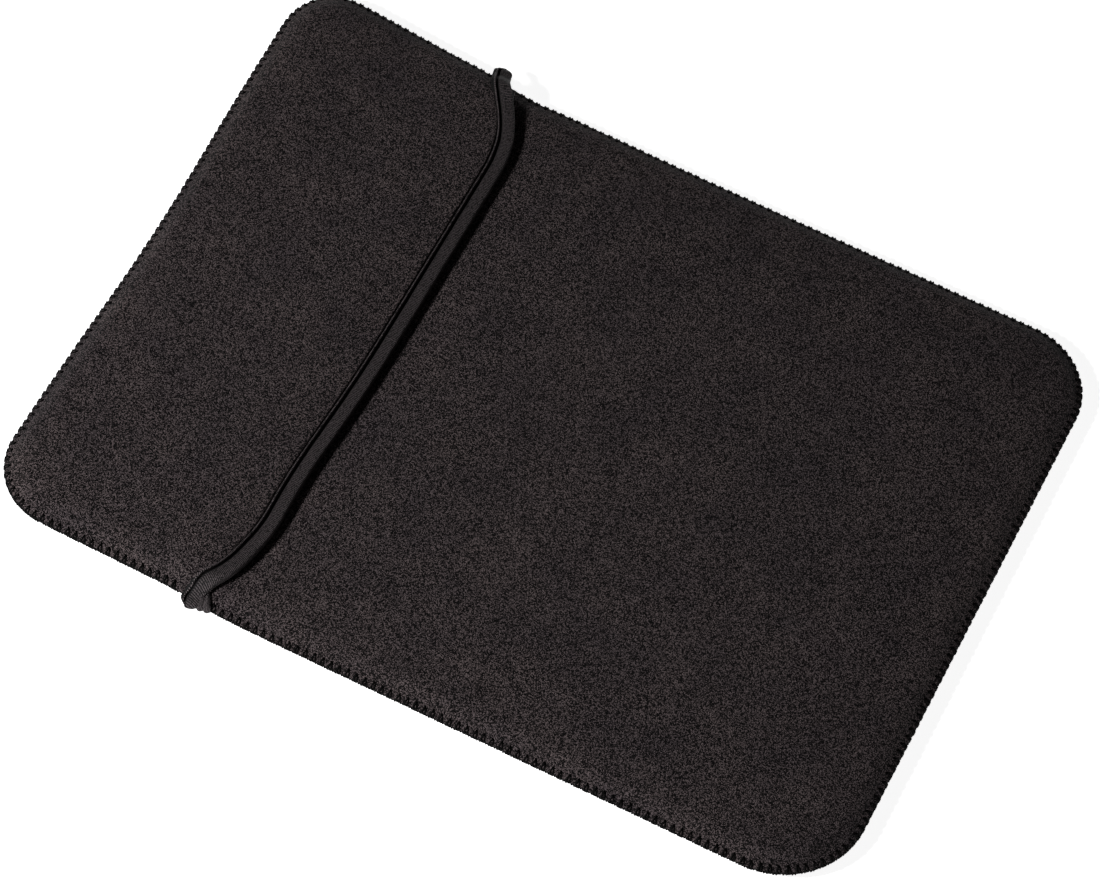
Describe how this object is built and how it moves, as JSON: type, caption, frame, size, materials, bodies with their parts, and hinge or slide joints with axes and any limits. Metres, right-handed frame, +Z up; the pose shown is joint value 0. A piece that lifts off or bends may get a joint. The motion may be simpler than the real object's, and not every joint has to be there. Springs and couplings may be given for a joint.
{
  "type": "laptop sleeve",
  "caption": "Slip-in padded laptop sleeve of knit-faced foam with an envelope hood over its mouth, bound lips and an overlocked edge.",
  "frame": {"origin": "on the resting face, under the middle of the sleeve's length and width", "axes": "+X from the hood's closed end to the pouch's closed end (length), +Y across the width, +Z up from the back panel to the front (thickness)"},
  "size_m": [0.4006, 0.301, 0.0207],
  "materials": {
    "face_knit": "fine jersey knit, matt",
    "lining_knit": "fine jersey knit, matt",
    "foam": "closed-cell foam, matt",
    "binding_tape": "cross-ribbed tape, slight sheen",
    "thread": "spun polyester thread"
  },
  "bodies": {
    "sleeve": {"back_face_knit": "face_knit", "back_foam_core": "foam", "back_lining_knit": "lining_knit", "front_face_knit": "face_knit", "front_foam_core": "foam", "front_lining_knit": "lining_knit", "mouth_binding": "binding_tape", "mouth_needle_thread": "thread", "mouth_looper_thread": "thread", "pouch_seam_needle_thread": "thread", "pouch_seam_upper_looper": "thread", "seam_lower_looper": "thread"},
    "hood": {"hood_face_knit": "face_knit", "hood_foam_core": "foam", "hood_lining_knit": "lining_knit", "hood_lip_binding": "binding_tape", "hood_lip_needle_thread": "thread", "hood_lip_looper_thread": "thread", "hood_seam_needle_thread": "thread", "hood_seam_upper_looper": "thread"}
  },
  "joints": [
    {"name": "hood_lift", "type": "hinge", "parent": "sleeve", "child": "hood", "pos_m": [-0.2, 0, 0.0075], "axis": [0, -1, 0], "range_deg": [0, 25]}
  ]
}
